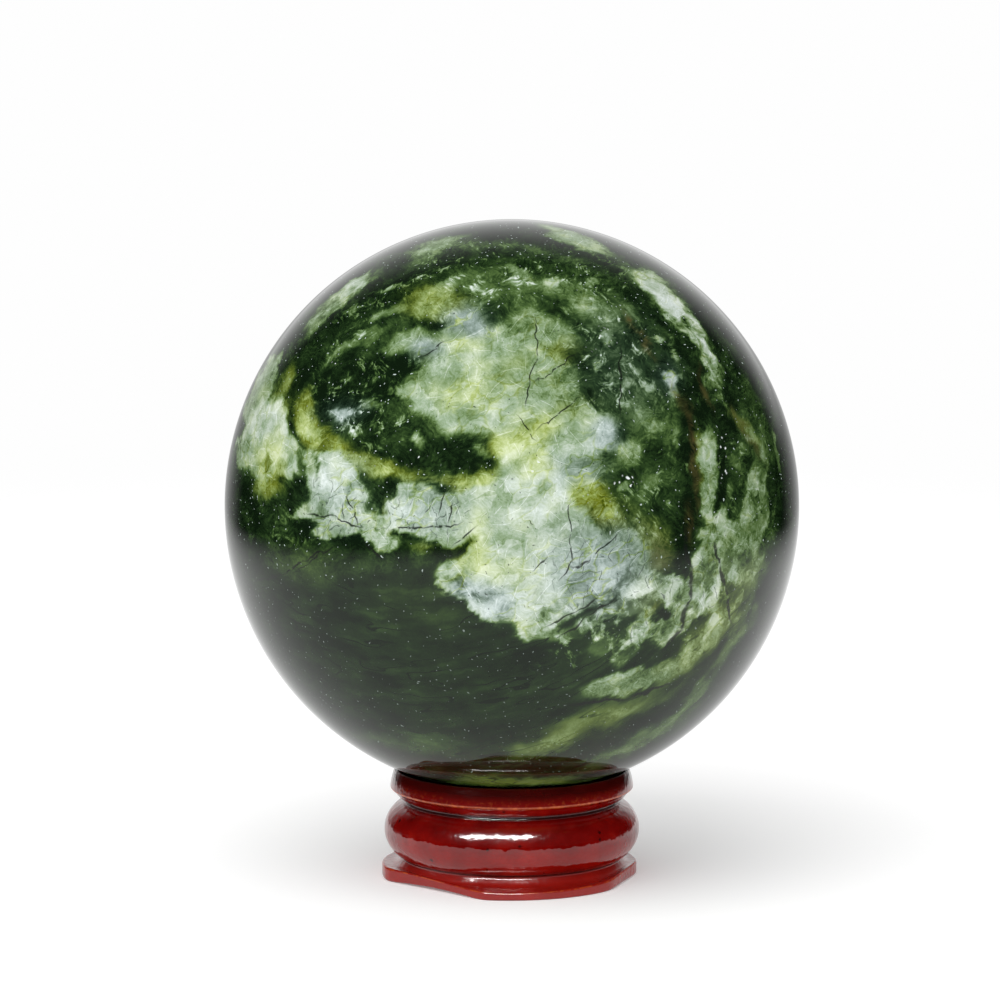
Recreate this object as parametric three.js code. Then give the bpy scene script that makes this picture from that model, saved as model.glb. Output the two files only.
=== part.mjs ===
// A polished stone ball resting on a small turned ring stand of red lacquered wood.
// Millimetres, +Z up. The origin is on the floor under the ball's centre, and -Y is the front.
import * as THREE from "three";

// Ball
const BALL_RADIUS = 40;
const BALL_CENTRE_HEIGHT = 52.2;
const BALL_MERIDIANS = 64;
const BALL_PARALLELS = 32;

// Ring stand, top to bottom: height above the floor and radius from the axis
const BORE_RADIUS = 12;
const SEAT = { innerRadius: 12.7, innerHeight: 14.0, outerRadius: 16.1, lead: 0.35 };
const LIP = { topRadius: 16.5, top: 15.3, radius: 17.05, bottom: 12.75, round: 0.28, drop: 0.45 };
const LIP_ROLL = { from: 15, to: -75 };
const UPPER_NECK = { radius: 15.1, height: 10.95 };
const BEAD = { radius: 17.9, height: 6.65, section: 4.2, upperEnd: 10.6, lowerEnd: 2.9 };
const LOWER_NECK = { radius: 15.3, height: 2.75 };
const STAND_SEGMENTS = 64;
const STEPS = { roll: 3, lipFlare: 3, bead: 12, footFlare: 5 };

// Foot: a thin edge, cut back by three hand-cut flats that leave three lobes
const FOOT = { radius: 17.9, edge: 1.55, edgeSwing: 0.45, edgeTurn: 5, round: 0.3 };
const FOOT_OFFSET = { front: 0.45, right: -0.3 };
const FOOT_FLATS = [
  { angle: -43.5, distance: 15.9 },
  { angle: 71, distance: 16.9 },
  { angle: 192, distance: 16.1 },
];
const FLAT_BLEND = 0.25;
const ARCH = { rise: 0.4, innerRadius: 14.2 };

const STONE = { name: "stone_ball", color: 0x3f5a38, roughness: 0.08, metalness: 0 };
const LACQUER = { name: "ring_stand", color: 0x7d0703, roughness: 0.12, metalness: 0 };

const point = (radius, height) => new THREE.Vector2(radius, height);

// Points along a circular arc of the section, from one angle to another, in degrees above outward.
function arc(centreRadius, centreHeight, radius, fromAngle, toAngle, steps) {
  const points = [];
  for (let i = 0; i <= steps; i++) {
    const angle = THREE.MathUtils.degToRad(THREE.MathUtils.lerp(fromAngle, toAngle, i / steps));
    points.push(point(centreRadius + radius * Math.cos(angle), centreHeight + radius * Math.sin(angle)));
  }
  return points;
}

// Points along a concave sweep that leaves its first end steeply and reaches its last end flat.
function flare(from, to, steps) {
  const points = [];
  for (let i = 0; i <= steps; i++) {
    const t = i / steps;
    const fall = 1 - (1 - t) ** 2;
    points.push(point(THREE.MathUtils.lerp(from.x, to.x, t), THREE.MathUtils.lerp(from.y, to.y, fall)));
  }
  return points;
}

// The lip: a leaning band whose lower edge is rolled, then drawn in to the upper neck.
function lipSection() {
  const rollRadius = LIP.radius - LIP.round;
  return [
    point(LIP.topRadius - LIP.round, LIP.top),
    point(LIP.topRadius, LIP.top - LIP.round),
    ...arc(rollRadius, LIP.bottom, LIP.round, LIP_ROLL.from, LIP_ROLL.to, STEPS.roll),
    ...flare(
      point(rollRadius - LIP.round, LIP.bottom - LIP.drop),
      point(UPPER_NECK.radius, UPPER_NECK.height),
      STEPS.lipFlare),
  ];
}

// The round bead between the two necks, as one arc of its section.
function beadSection() {
  const centreRadius = BEAD.radius - BEAD.section;
  const angleAt = (height) => THREE.MathUtils.radToDeg(Math.asin((height - BEAD.height) / BEAD.section));
  const from = angleAt(BEAD.upperEnd);
  const to = angleAt(BEAD.lowerEnd);
  return arc(centreRadius, BEAD.height, BEAD.section, from, to, STEPS.bead);
}

// The foot before its flats are cut: a flare from the lower neck to a thin edge with rounded corners.
function footSection() {
  const root = point(LOWER_NECK.radius, LOWER_NECK.height);
  const rim = point(FOOT.radius - FOOT.round, FOOT.edge);
  return [
    ...flare(root, rim, STEPS.footFlare),
    point(FOOT.radius, FOOT.edge - FOOT.round),
    point(FOOT.radius, FOOT.round),
    point(FOOT.radius - FOOT.round, 0),
    point((FOOT.radius + ARCH.innerRadius) / 2, 0),
    point(ARCH.innerRadius, 0),
  ];
}

// The dished seat under the ball and the straight bore.
function seatSection() {
  return [
    point(BORE_RADIUS, 0),
    point(BORE_RADIUS, SEAT.innerHeight - SEAT.lead),
    point(SEAT.innerRadius, SEAT.innerHeight),
    point(SEAT.outerRadius, LIP.top),
  ];
}

// Radius of the foot's edge at an angle from the front: an off-centre circle blended with the flats.
function footEdgeRadius(angle) {
  const circle = FOOT.radius + FOOT_OFFSET.front * Math.cos(angle) + FOOT_OFFSET.right * Math.sin(angle);
  let sum = Math.exp(-circle / FLAT_BLEND);
  for (const flat of FOOT_FLATS) {
    const facing = Math.cos(angle - THREE.MathUtils.degToRad(flat.angle));
    if (facing > 0) {
      sum += Math.exp(-flat.distance / facing / FLAT_BLEND);
    }
  }
  return -FLAT_BLEND * Math.log(sum);
}

// Thickness of the foot's edge, thinner at the front and back than at the sides.
function footEdgeThickness(angle) {
  const turn = THREE.MathUtils.degToRad(FOOT.edgeTurn);
  return FOOT.edge - FOOT.edgeSwing * Math.cos(2 * (angle - turn));
}

// Cuts the turned foot back to its lobes, varies its edge and arches its underside between the lobes.
function carveFoot(geometry) {
  const deepestFlat = Math.min(...FOOT_FLATS.map((flat) => flat.distance));
  const position = geometry.attributes.position;
  const vertex = new THREE.Vector3();
  for (let i = 0; i < position.count; i++) {
    vertex.fromBufferAttribute(position, i);
    const radius = Math.hypot(vertex.x, vertex.y);
    const onUnderside = vertex.z < FOOT.round / 2;
    const root = onUnderside ? ARCH.innerRadius : LOWER_NECK.radius;
    if (vertex.z > LOWER_NECK.height || radius <= root) {
      continue;
    }
    const angle = Math.atan2(vertex.x, -vertex.y);
    const outward = (radius - root) / (FOOT.radius - root);
    const edgeRadius = footEdgeRadius(angle);
    const thickness = THREE.MathUtils.lerp(1, footEdgeThickness(angle) / FOOT.edge, outward);
    const cut = Math.max(0, FOOT.radius - edgeRadius) / (FOOT.radius - deepestFlat);
    const lift = ARCH.rise * cut * outward * Math.max(0, 1 - vertex.z / FOOT.edge);
    const carvedRadius = THREE.MathUtils.lerp(root, edgeRadius, outward);
    position.setXYZ(
      i,
      vertex.x * carvedRadius / radius,
      vertex.y * carvedRadius / radius,
      vertex.z * thickness + lift);
  }
  return geometry;
}

function standGeometry() {
  const section = [...lipSection(), ...beadSection(), ...footSection(), ...seatSection()];
  section.push(section[0].clone());
  section.reverse();
  const turned = new THREE.LatheGeometry(section, STAND_SEGMENTS);
  turned.rotateX(Math.PI / 2);
  return carveFoot(turned);
}

function ballGeometry() {
  return new THREE.SphereGeometry(BALL_RADIUS, BALL_MERIDIANS, BALL_PARALLELS).rotateX(Math.PI / 2);
}

function piece(geometry, { name, ...finish }) {
  const mesh = new THREE.Mesh(geometry, new THREE.MeshStandardMaterial(finish));
  mesh.name = name;
  return mesh;
}

const ornament = new THREE.Group();
const ball = piece(ballGeometry(), STONE);
ball.position.z = BALL_CENTRE_HEIGHT;
ornament.add(ball, piece(standGeometry(), LACQUER));

export default ornament;
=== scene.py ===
# A polished green stone ball resting on a red lacquered ring stand.
# Metres, +Z up. The front of the stand faces -Y.
import math

import bpy
from mathutils import Euler, Matrix, Vector


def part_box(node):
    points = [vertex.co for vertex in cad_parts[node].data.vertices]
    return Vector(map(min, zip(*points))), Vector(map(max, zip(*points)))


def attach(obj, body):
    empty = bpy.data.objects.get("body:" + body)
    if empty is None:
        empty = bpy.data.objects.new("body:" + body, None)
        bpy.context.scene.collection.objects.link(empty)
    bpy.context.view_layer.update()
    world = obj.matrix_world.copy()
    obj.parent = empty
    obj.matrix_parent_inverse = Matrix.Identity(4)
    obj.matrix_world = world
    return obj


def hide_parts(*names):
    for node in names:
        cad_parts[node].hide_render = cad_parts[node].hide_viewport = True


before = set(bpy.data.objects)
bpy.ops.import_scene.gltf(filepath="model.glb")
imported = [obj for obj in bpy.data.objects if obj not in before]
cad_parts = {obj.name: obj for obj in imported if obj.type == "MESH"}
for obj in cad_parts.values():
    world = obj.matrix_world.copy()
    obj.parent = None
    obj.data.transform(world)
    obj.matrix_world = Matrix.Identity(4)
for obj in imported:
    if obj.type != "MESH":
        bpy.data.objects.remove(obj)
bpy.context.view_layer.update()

MM = 0.001

# Camera, looking slightly down at the middle of the ball
CAMERA_DISTANCE = 0.8
CAMERA_RISE = math.radians(8.2)
CAMERA_LENS = 206.6
CAMERA_SENSOR = 36.0
CAMERA_CLIP = (0.01, 20.0)
AIM_RIGHT = -1.65 * MM
AIM_UP = 0.89 * MM
FACE_TURN = (math.pi / 2 - CAMERA_RISE, 0.0, 0.0)
RIGHT = Vector((1, 0, 0))
UP = Vector((0, math.sin(CAMERA_RISE), math.cos(CAMERA_RISE)))
TOWARDS = Vector((0, -math.cos(CAMERA_RISE), math.sin(CAMERA_RISE)))

# Ball
ball_low, ball_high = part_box("stone_ball")
BALL_MIDDLE = (ball_low + ball_high) / 2
BALL_RADIUS = (ball_high.z - ball_low.z) / 2
BALL_MM = BALL_RADIUS / MM
BALL_ROWS = 126
POLISH_WAVE = 0.03 * MM
POLISH_WAVE_SIZE = 12 * MM

# Ring stand, top to bottom: radius from the axis and height above the floor
LIP_TOP_RADIUS = 16.5 * MM
LIP_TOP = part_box("ring_stand")[1].z
LIP_RADIUS = 17.05 * MM
LIP_BOTTOM = 12.75 * MM
LIP_ROUND = 0.28 * MM
LIP_DROP = 0.45 * MM
LIP_BULGE = 0.08 * MM
LIP_CREST = (90, 10)
LIP_ROLL = (15, -75)
LIP_FLARE = 2
UPPER_NECK_RADIUS = 14.93 * MM
UPPER_NECK = 11.05 * MM
BEAD_RADIUS = 17.9 * MM
BEAD_HEIGHT = 6.65 * MM
BEAD_SECTION = 4.2 * MM
BEAD_UPPER_END = 10.6 * MM
BEAD_LOWER_END = 2.9 * MM
LOWER_NECK_RADIUS = 15.3 * MM
LOWER_NECK = 2.75 * MM
NECK_MARGIN = 0.01 * MM
# Rounded bottoms of the two grooves: where the middle is, the radius, first and last degrees, and steps.
UPPER_HOLLOW = (15.27 * MM, 10.94 * MM, 0.35 * MM, 170, 250, 6)
LOWER_HOLLOW = (15.73 * MM, 2.62 * MM, 0.3 * MM, 117, 225, 8)
HOLLOW_GAP = 0.03 * MM
FOOT_RADIUS = 17.9 * MM
FOOT_EDGE = 1.55 * MM
FOOT_EDGE_SWING = 0.45 * MM
FOOT_EDGE_TURN = math.radians(5)
FOOT_ROUND = 0.3 * MM
FOOT_FLARE = 4
FOOT_CREST = (75, 0)
FOOT_TOE = (0, -90)
FOOT_FRONT = 0.45 * MM
FOOT_RIGHT = -0.3 * MM
FOOT_FLATS = [(-43.5, 15.9 * MM), (71.0, 16.9 * MM), (192.0, 16.1 * MM)]
FLAT_BLEND = 0.25 * MM
FLAT_LEAST_FACING = 0.05
ARCH_RISE = 0.4 * MM
ARCH_INNER_RADIUS = 14.2 * MM
BORE_RADIUS = 12.0 * MM
SEAT_INNER_RADIUS = 12.7 * MM
SEAT_INNER_HEIGHT = 14.0 * MM
SEAT_OUTER_RADIUS = 16.1 * MM
SEAT_LEAD = 0.35 * MM
# How many steps each stretch of the section has.
STEPS = {
    "lip": 8, "bead": 40, "flare": 12, "round": 5, "edge": 3, "arch": 6, "base": 3, "bore": 10, "seat": 6,
}
STAND_TURNS = 256
MERGE_DISTANCE = 0.001 * MM
LACQUER_RELIEF = 0.06 * MM
RELIEF_NOISE = (0.32 / MM, 3.0, 0.5)
RELIEF_STARTS = (0.0, 0.4 * MM)
WORN_CREST = (0.93, 0.99)

# Lacquer: heights and radii are in millimetres, each noise is (waves per millimetre, detail, roughness), and
# each pair is where a soft change starts and ends.
BRUSHED = (0.2, 4.0, 0.6)
# Painted shade: the lip darkens towards its top under the ball, and the grooves darken.
LIP_SHADE_HEIGHTS = (12.6, 14.6)
LIP_SHADE_UNEVEN = 2.5
PAINTED_SHADE_SHARE = 0.85
GROOVES = [(10.8, 0.4), (2.85, 0.3)]
GROOVE_CORE = 0.2
# Painted light on the bead's underside, which mirrors the white floor, and on the foot's top, which faces
# up.
BEAD_UNDERSIDE = ((7.4, 5.4), (3.0, 4.0))
BEAD_PAINTED_LIGHT = 0.3
FOOT_TOP = (2.9, 2.3)
FOOT_PAINTED_LIGHT = 0.55
FLECKS = (1.1, 4.0, 0.65)
FLECK_COVER = (0.42, 0.62)
# The lip's lower edge carries an orange line: partly worn flecks, partly a painted highlight.
LIP_EDGE = 12.6
LIP_EDGE_WIDTH = (0.3, 0.1)
LIP_EDGE_FLECKED = 0.6
LIP_FLECKS = (1.7, 4.0, 0.7)
LIP_FLECK_COVER = (0.52, 0.66)
LIP_FLECK_BAND = ((14.2, 12.8), (12.3, 12.5))
LIP_FLECK_SHARE = 0.3
WEAR_AND_HIGHLIGHT_SHARE = 0.7
PITS = (0.9, 0.3, 0.2)
PIT_SHARE = 0.7
# Painted shade in the seat and the bore, under the ball.
SEAT_RIM = (16.3, 16.1)
SEAT_FLOOR = (13.5, 13.7)
BORE_WALL = (12.4, 12.2)
GLOSSIEST_BAND = ((7.6, 7.0), (3.0, 3.6))
FOOT_DULL = (3.0, 2.7)
ROUGH_NOISE = (0.5, 2.0, 0.5)
ROUGH_LEAST = 0.03
ROUGH_UNEVEN = 0.05
ROUGH_DULL = 0.09
ROUGH_FOOT = 0.06
RIPPLE = (1.0, 1.0, 0.5)
RIPPLE_STRENGTH = 0.6
RIPPLE_HEIGHT = 0.1 * MM
LACQUER_IOR = 1.55

# Floor, backdrop and lights
FLOOR_RADIUS = 0.45
FLOOR_SIDES = 96
FLOOR_WHITE = (0.92, 0.92, 0.92, 1.0)
FLOOR_GLOW = 0.17
TABLE_SIDE = 0.24
TABLE_FRONT = 0.34
TABLE_EDGE = (0.6, 1.3)
DOME_LIGHT = 0.72
DOME_LEAN = 0.45
DOME_FACING = (-0.3, -0.8, 0.52)
BACKDROP_WHITE = 0.991
BACKDROP_MIRRORED = 1.12
# Slopes at which the mirrored backdrop fades to the sides and the top, and what is left of it lower down.
BACKDROP_SIDES = (0.98, 0.15)
BACKDROP_TOP = (1.6, 0.0)
BACKDROP_FOOT = (-0.02, 0.06, 0.55)
KEY_PLACE = (-0.24, -0.65, 0.8)
KEY_SIZE = (1.0, 1.0)
KEY_POWER = 6.0
STRIP_PLACE = (-0.197, -0.476, 0.537)
STRIP_TARGET = (-0.197, -0.017, 0.009)
STRIP_SIZE = (0.78, 0.15)
STRIP_POWER = 22.0


# Colours

def shade(red, green, blue):
    """A colour from its 0 to 255 display values."""
    linear = []
    for value in (red, green, blue):
        level = value / 255
        linear.append(level / 12.92 if level <= 0.04045 else ((level + 0.055) / 1.055) ** 2.4)
    return (*linear, 1.0)


LACQUER_STOPS = [
    (0.3, shade(90, 1, 0)),
    (0.5, shade(112, 3, 1)),
    (0.7, shade(138, 14, 4)),
]
# Painted shade: dark red for the lip under the ball and for the grooves; the groove red also colours small
# pits.
LIP_SHADE_RED = shade(34, 2, 1)
GROOVE_SHADE_AND_PIT_RED = shade(20, 1, 1)
# Painted light: a lighter red for the bead's underside and the foot's top.
PAINTED_LIGHT_RED = shade(158, 20, 7)
# Painted shade: dark matt colour for the seat and the bore.
SEAT_PAINTED_SHADE = shade(22, 6, 4)
# Orange of worn lacquer, also used for a painted highlight along the lip's lower edge.
WEAR_AND_HIGHLIGHT_ORANGE = shade(196, 92, 34)
SPECK_WHITE = shade(205, 220, 215)
GLINT_WHITE = shade(238, 244, 244)
CRACK_BLACK = shade(20, 25, 20)
CRACK_GREY = shade(62, 72, 66)
STAIN_BROWN = shade(74, 66, 36)
WHITE = (1.0, 1.0, 1.0, 1.0)

# Stone pattern
# Each patch is (right, up, half length, half width, turn, strength): millimetres from the middle of the
# ball's face, and degrees that the patch rises to the right. Strength 1 is white and 0.3 is mid green.

UPPER_CLOUD = [
    (-4, 18, 8.0, 6.0, 40, 0.7),
    (-8.5, 15, 5.6, 3.0, 150, 0.6),
    (-5.5, 21.6, 4.5, 2.6, 20, 0.62),
    (1, 21.5, 4.6, 2.2, 80, 0.36),
    (5.6, 24.6, 3.8, 1.6, 155, 0.5),
    (6, 17, 3.2, 3.8, 0, 0.42),
    (-6.3, 26.2, 2.4, 2.0, 30, 0.6),
    (-11, 28.4, 3.4, 1.9, 15, 0.5),
    (-9.3, 31, 1.6, 0.7, 30, 0.4),
    (-14, 23.2, 4.4, 1.2, 12, 0.5),
    (-11.8, 22, 2.2, 1.2, 25, 0.6),
    (-14.3, 16.5, 1.5, 1.3, 0, 0.5),
    (-4, 11.9, 4.2, 1.6, 170, 0.6),
    (3.5, 12.8, 4.6, 3.0, 0, 0.62),
    (9, 12.4, 2.2, 1.8, 40, 0.5),
]
NECK = [
    (5, 9.2, 6.0, 3.2, 20, 0.74),
    (8.6, 5.4, 3.4, 2.2, 10, 0.66),
    (2.5, 5.8, 3.4, 2.0, 20, 0.74),
    (12.6, 10.3, 2.4, 1.6, 60, 0.66),
    (16, 7.6, 2.1, 1.8, 160, 0.48),
]
MAIN_WHITE = [
    (-6, 0.2, 3.0, 2.2, 0, 0.6),
    (2.5, 1.6, 6.0, 3.2, 10, 0.78),
    (0.5, -5, 6.6, 5.8, 90, 0.74),
    (3, -11.5, 6.6, 4.4, 165, 0.76),
    (-4.5, -8.5, 3.8, 2.4, 20, 0.68),
    (-9.2, -9.8, 1.8, 1.5, 20, 0.64),
    (-7, -11.6, 2.0, 1.2, 150, 0.58),
    (-3.4, -13.4, 3.0, 1.6, 150, 0.64),
    (4.4, -17, 3.6, 1.3, 5, 0.58),
    (8.6, -3.4, 3.4, 2.4, 130, 0.64),
    (11.5, -8.5, 6.0, 4.6, 0, 0.68),
    (16.2, -6.4, 2.1, 2.2, 120, 0.56),
    (12.5, -13, 4.6, 2.4, 20, 0.54),
    (18.5, -11.2, 3.4, 2.1, 165, 0.52),
    (22.4, -11.6, 2.1, 1.8, 160, 0.52),
]
FRAGMENTS = [
    (17.9, -16.9, 2.0, 1.8, 70, 0.53),
    (22.8, -16.4, 2.8, 1.5, 60, 0.53),
    (17.2, -13.3, 1.8, 1.2, 20, 0.5),
    (12.5, -19.3, 2.6, 1.4, 30, 0.43),
    (16, -20.5, 2.6, 1.1, 35, 0.35),
    (8.8, -17.6, 2.6, 1.1, 30, 0.39),
    (22, -22.3, 2.4, 1.3, 40, 0.45),
    (14, -25, 4.6, 1.6, 12, 0.49),
    (18.6, -23.8, 2.8, 1.2, 25, 0.43),
    (20.3, -18, 1.7, 1.0, 75, 0.27),
]
RIGHT_BLOCK = [
    (27.3, -8.5, 6.0, 2.5, 80, 0.56),
    (29.3, -5, 3.2, 1.7, 80, 0.5),
    (26.7, -13, 2.0, 1.3, 70, 0.48),
    (32.3, -6, 5.0, 1.9, 76, 0.46),
    (33.6, 1, 6.0, 1.8, 88, 0.42),
]
RIGHT_RIBBONS = [
    (27.2, 6.5, 4.6, 1.2, 90, 0.54),
    (27.3, 0.8, 2.4, 1.2, 85, 0.5),
    (27.5, -2.5, 1.3, 0.6, 50, 0.45),
    (31.2, 6.8, 1.8, 0.7, 92, 0.36),
    (30.2, 1.5, 2.6, 0.6, 85, 0.36),
    (35.2, 3.5, 4.5, 0.5, 92, 0.4),
    (36.8, 7.5, 3.0, 0.4, 100, 0.4),
    (22, 17.9, 1.5, 1.4, 95, 0.85),
    (22.6, 15.6, 1.0, 0.7, 110, 0.45),
]
RIGHT_TUFTS = [
    (1, 32.8, 2.2, 0.7, 140, 0.5),
    (5.6, 31.5, 1.7, 0.8, 170, 0.66),
    (11.3, 31, 0.9, 0.7, 0, 0.45),
    (13.2, 23.8, 1.4, 0.8, 120, 0.46),
    (11.6, 19.6, 1.1, 0.7, 90, 0.42),
    (16.2, 16.9, 0.9, 0.7, 0, 0.5),
    (19, 16.5, 0.8, 0.6, 0, 0.46),
    (17.3, 18.8, 0.7, 0.5, 0, 0.42),
    (20.4, 23, 1.0, 0.6, 120, 0.5),
    (23, 21.3, 0.9, 0.5, 110, 0.46),
    (24, 24.8, 1.2, 0.5, 110, 0.42),
    (13, 26.4, 1.2, 0.5, 150, 0.4),
    (22.7, 9.5, 1.4, 0.4, 95, 0.32),
    (19.6, 3.8, 1.2, 0.9, 40, 0.32),
    (15.4, 3, 1.0, 0.6, 20, 0.55),
    (18.3, 1.4, 0.7, 0.5, 0, 0.3),
]
LEFT_CLUSTER = [
    (-34.8, 16.4, 4.2, 1.3, 62, 0.5),
    (-33.4, 11, 4.2, 2.6, 75, 0.8),
    (-37, 9.6, 4.0, 1.0, 76, 0.62),
    (-33.8, 19, 3.0, 0.8, 58, 0.55),
    (-34.6, 6, 3.2, 2.6, 80, 0.56),
    (-30.6, 6.4, 3.0, 1.1, 85, 0.66),
    (-28.3, 5, 3.0, 1.0, 97, 0.5),
]
WHITE_BAND = [
    (-24, 3.4, 4.0, 3.0, 140, 0.78),
    (-25.8, 6.6, 2.2, 1.0, 150, 0.66),
    (-24, -1.4, 3.8, 2.2, 170, 0.68),
    (-29.2, -1, 1.5, 1.0, 30, 0.5),
    (-25.4, -3.5, 2.2, 0.9, 0, 0.5),
    (-20.2, -1, 1.6, 2.4, 0, 0.5),
    (-18.9, -3.4, 1.4, 1.7, 0, 0.62),
    (-17.3, -5.6, 1.4, 0.9, 20, 0.62),
    (-14.2, 1.2, 2.4, 1.8, 70, 0.76),
    (-12.6, -0.4, 4.0, 2.4, 0, 0.74),
    (-12, -2.8, 4.6, 1.5, 0, 0.66),
    (-8.4, -4.4, 1.8, 1.0, 35, 0.6),
]
RIM_STREAKS = [
    (27.4, 20, 5.4, 1.2, 108, 0.62),
    (20.8, 29.2, 5.4, 2.0, 132, 0.8),
    (8.5, 37.2, 5.5, 0.9, 157, 0.6),
    (-10.5, 36.2, 4.2, 1.0, 20, 0.55),
    (-23.2, 29.6, 6.0, 1.0, 38, 0.58),
    (-26, 26.6, 2.6, 0.6, 42, 0.42),
    (-17, 30.4, 1.8, 0.35, 20, 0.45),
    (-17.6, 26.8, 2.4, 0.7, 32, 0.46),
    (-24, 21.6, 3.4, 0.5, 33, 0.34),
    (-19.5, 23.6, 3.0, 0.6, 30, 0.3),
]
BELT_TUFTS = [
    (-25.4, 16, 0.9, 0.5, 30, 0.42),
    (-23.9, 12.6, 1.6, 0.9, 10, 0.6),
    (-19.9, 14.1, 1.7, 0.5, 15, 0.4),
    (-19.3, 11.3, 0.7, 0.5, 0, 0.36),
    (-21.6, 10.2, 0.8, 0.4, 0, 0.34),
    (-13.3, 8.9, 1.4, 0.8, 105, 0.6),
    (-4.6, 7.5, 1.2, 0.7, 150, 0.42),
]
MID_GREEN = [
    (0, 20, 48.0, 26.0, 0, 0.055),
    (19.2, 11.6, 4.0, 2.4, 150, 0.2),
    (17, 20, 11.0, 7.0, 95, 0.13),
    (33, 13, 8.0, 3.0, 105, 0.12),
    (-33, -1.5, 4.0, 3.0, 0, 0.12),
    (2, 31, 12.0, 3.4, 0, 0.16),
    (0, 28, 3.0, 2.0, 0, 0.14),
    (12, 27, 3.4, 2.4, 0, 0.14),
    (16.5, 27.8, 2.0, 1.0, 120, 0.16),
    (20, 2, 5.0, 4.0, 0, 0.12),
    (12.5, 4.6, 2.2, 1.5, 40, 0.26),
    (-12.4, 12.4, 4.0, 2.0, 160, 0.2),
    (33, 2, 10.0, 4.0, 90, 0.16),
    (-3, 31.5, 6.0, 1.4, 0, 0.1),
    (0, -24, 44.0, 20.0, 0, 0.07),
    (8, 29.3, 4.6, 1.2, 162, 0.24),
    (-19, 25.5, 8.0, 4.0, 32, 0.07),
    (-21, 12, 4.0, 3.0, 0, 0.06),
    (24, -16, 10.0, 6.0, 55, 0.05),
    (30.3, -13.5, 5.5, 1.9, 62, 0.3),
    (26, -18.8, 5.0, 1.9, 50, 0.28),
    (22.6, -22.8, 3.5, 1.2, 42, 0.2),
    (35, -7, 4.5, 1.1, 75, 0.22),
    (10.5, -30, 6.5, 1.7, 22, 0.24),
    (17.5, -27.8, 5.0, 1.2, 22, 0.16),
    (4, -33.7, 4.5, 1.3, 14, 0.24),
    (-14, -33, 7.0, 1.6, 175, 0.16),
    (19.5, -31.4, 6.0, 0.8, 36, 0.2),
    (25.4, -26.6, 6.0, 0.8, 45, 0.22),
    (29.6, -20.6, 5.0, 0.7, 53, 0.2),
    (32.6, -15, 5.0, 0.6, 63, 0.2),
    (14, -34.6, 5.0, 0.9, 25, 0.2),
    (24, -29.6, 6.0, 0.4, 42, 0.12),
    (-4, 36.3, 8.0, 0.8, 3, 0.14),
    (6, 35, 7.0, 0.7, 170, 0.12),
    (-14.5, 33.6, 6.0, 0.8, 24, 0.14),
    (15, 33.8, 4.0, 0.6, 145, 0.12),
    (-28.5, 24.4, 5.0, 0.7, 48, 0.14),
    (13, -18, 6.0, 3.0, 25, 0.12),
    (-29, -8, 6.0, 2.6, 0, 0.05),
]
OLIVE = [
    (-28.6, 12.6, 3.6, 1.3, 95, 0.42),
    (-31.6, 17.4, 2.6, 1.0, 60, 0.32),
    (-26, 9.3, 3.4, 1.4, 150, 0.36),
    (-20.5, 6.2, 4.0, 1.4, 160, 0.32),
    (-15.5, 4.9, 3.2, 1.1, 170, 0.3),
    (-5, 3.7, 3.6, 1.3, 20, 0.46),
    (-1.4, 8.7, 1.8, 1.3, 50, 0.45),
    (-9.5, 3.6, 2.0, 0.7, 0, 0.26),
    (11.4, 1, 5.2, 2.0, 128, 0.34),
    (20, -5.4, 3.0, 2.2, 100, 0.26),
    (16, -1.4, 4.0, 2.2, 140, 0.14),
    (18, -14.3, 2.0, 0.9, 10, 0.36),
    (-11.5, -5.6, 3.0, 0.8, 0, 0.2),
    (-34, 2.4, 2.6, 1.2, 0, 0.24),
    (-17.3, -2.2, 2.6, 0.5, 90, 0.3),
    (26, 6, 4.6, 0.5, 92, 0.22),
    (32.6, 10.5, 3.4, 0.6, 135, 0.2),
    (-12, -12, 7.0, 5.0, 0, 0.05),
    (1, -38.3, 11.0, 1.0, 0, 0.27),
    (-29, -8, 7.0, 3.0, 0, 0.06),
]
YELLOW_TINT = [
    (-5, 17, 6.0, 2.6, 20, 0.4),
    (-11, 28.4, 4.2, 2.2, 0, 0.7),
    (-6, 23.4, 3.0, 1.3, 30, 0.4),
    (1.5, 9.6, 4.0, 2.6, 20, 0.8),
    (3.5, 5.8, 3.2, 1.6, 0, 0.7),
    (7, 21.4, 2.5, 1.5, 0, 0.5),
    (10.5, 1, 3.0, 1.6, 133, 0.8),
    (6, 12.5, 5.0, 1.5, 30, 0.35),
    (0, -8.8, 3.5, 1.6, 20, 0.45),
    (-4.4, -4.5, 1.5, 4.0, 0, 0.45),
    (-6, -7, 2.5, 2.0, 20, 0.6),
    (-33.6, 6.5, 3.6, 2.0, 80, 0.8),
    (-31, 14, 3.0, 1.2, 75, 0.4),
    (18, -12.6, 3.0, 2.0, 0, 0.4),
    (28, -17, 9.0, 3.0, 55, 0.4),
    (10, -31, 10.0, 2.5, 22, 0.4),
]
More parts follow.
